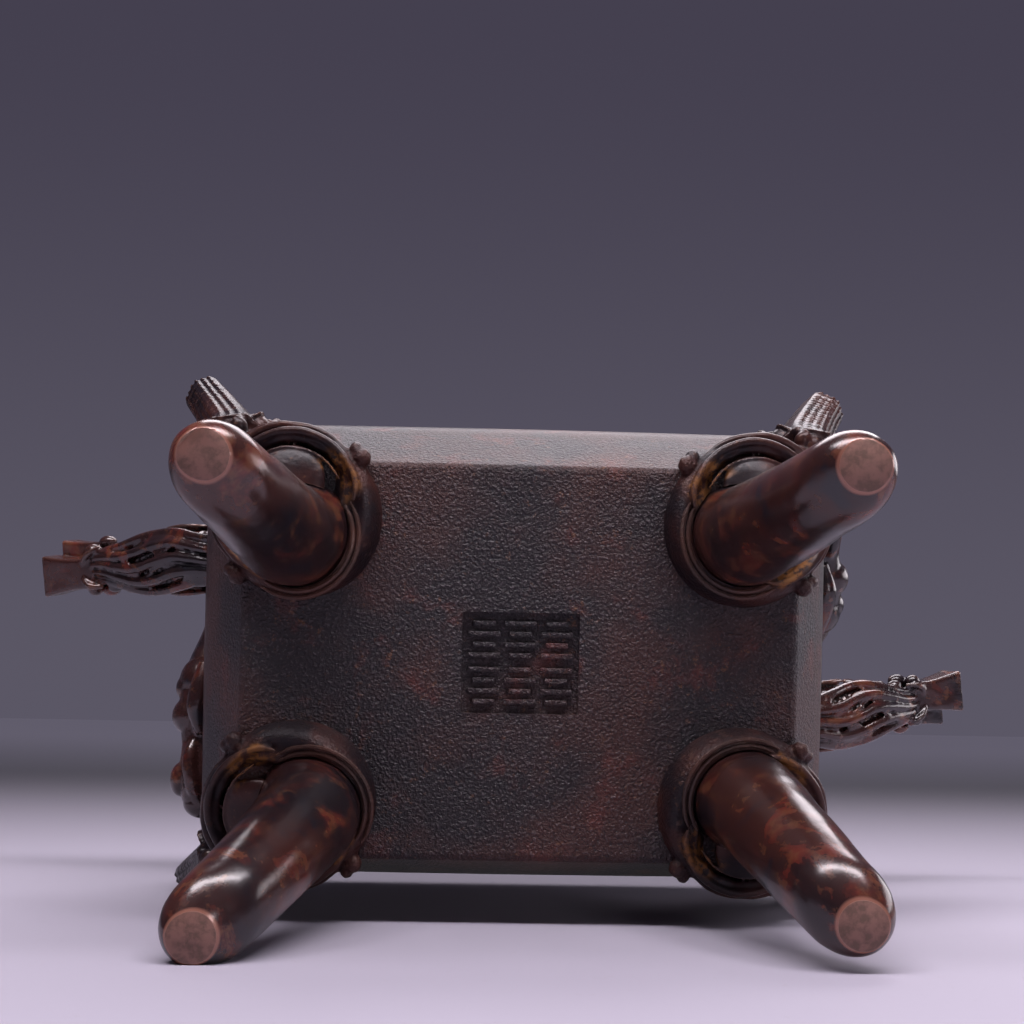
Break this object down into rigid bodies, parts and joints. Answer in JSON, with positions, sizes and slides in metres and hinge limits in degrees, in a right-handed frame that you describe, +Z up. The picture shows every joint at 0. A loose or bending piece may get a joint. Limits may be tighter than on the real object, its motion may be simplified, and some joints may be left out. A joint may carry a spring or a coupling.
{
  "type": "incense burner",
  "caption": "Rectangular copper censer: bulging open bowl on splayed legs held in beast-mask mouths, with corner crests and dragon handles on the short sides.",
  "frame": {"origin": "on the ground, under the middle of the bowl", "axes": "+Z up, +X along the long side"},
  "size_m": [0.2084, 0.1086, 0.1321],
  "materials": {
    "cast_copper": "dark brown sandy cast skin with warm specks",
    "burnished_copper": "burnished dark red-brown patina, mottled, with worn bare spots"
  },
  "bodies": {
    "root": {"vessel": "cast_copper", "leg_1": "burnished_copper", "leg_2": "burnished_copper", "leg_3": "burnished_copper", "leg_4": "burnished_copper", "dragon_handle_1": "burnished_copper", "dragon_handle_2": "burnished_copper"}
  },
  "joints": []
}
